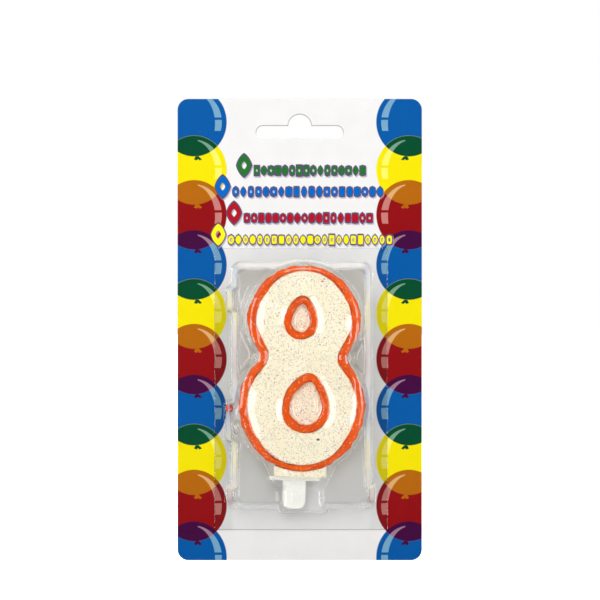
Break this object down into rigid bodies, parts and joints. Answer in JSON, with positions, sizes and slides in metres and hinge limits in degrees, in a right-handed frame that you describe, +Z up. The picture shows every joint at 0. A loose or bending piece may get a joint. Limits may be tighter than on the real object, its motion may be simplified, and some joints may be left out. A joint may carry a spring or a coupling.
{
  "type": "number candle in a blister pack",
  "caption": "Figure-shaped cake candle on a plastic pick, held in a clear thermoformed blister on a printed hang card.",
  "frame": {"origin": "middle of the hang slot, on the back face of the card", "axes": "+Z up the card, +X to the right of somebody looking at the printed front, which faces -Y"},
  "size_m": [0.09, 0.013, 0.17],
  "materials": {
    "card": "smooth coated paperboard, printed in bright solid colours",
    "clear_plastic": "thin clear thermoformed sheet, glossy",
    "cream_wax": "cream wax, satin, with fine glitter through it",
    "orange_wax": "orange wax, semi-gloss, with gold glitter",
    "cotton": "braided cotton, waxed",
    "pick_plastic": "white moulded plastic"
  },
  "bodies": {
    "card": {"backing_card": "card"},
    "blister": {"blister_shell": "clear_plastic"},
    "candle": {"wax_body": "cream_wax", "outline_bead": "orange_wax", "upper_counter_bead": "orange_wax", "lower_counter_bead": "orange_wax", "wick": "cotton", "cake_pick": "pick_plastic"}
  },
  "joints": [
    {"name": "blister_peel", "type": "hinge", "parent": "card", "child": "blister", "pos_m": [-0.0314, -0.00085, -0.09455], "axis": [0, 0, -1], "range_deg": [0, 110]},
    {"name": "candle_lift_out", "type": "slide", "parent": "blister", "child": "candle", "axis": [0, 1, 0], "range_m": [0, 0.0135]}
  ],
  "couplings": [
    {"joint": "candle_lift_out", "follows": "blister_peel", "m_per_rad": 0.007}
  ]
}
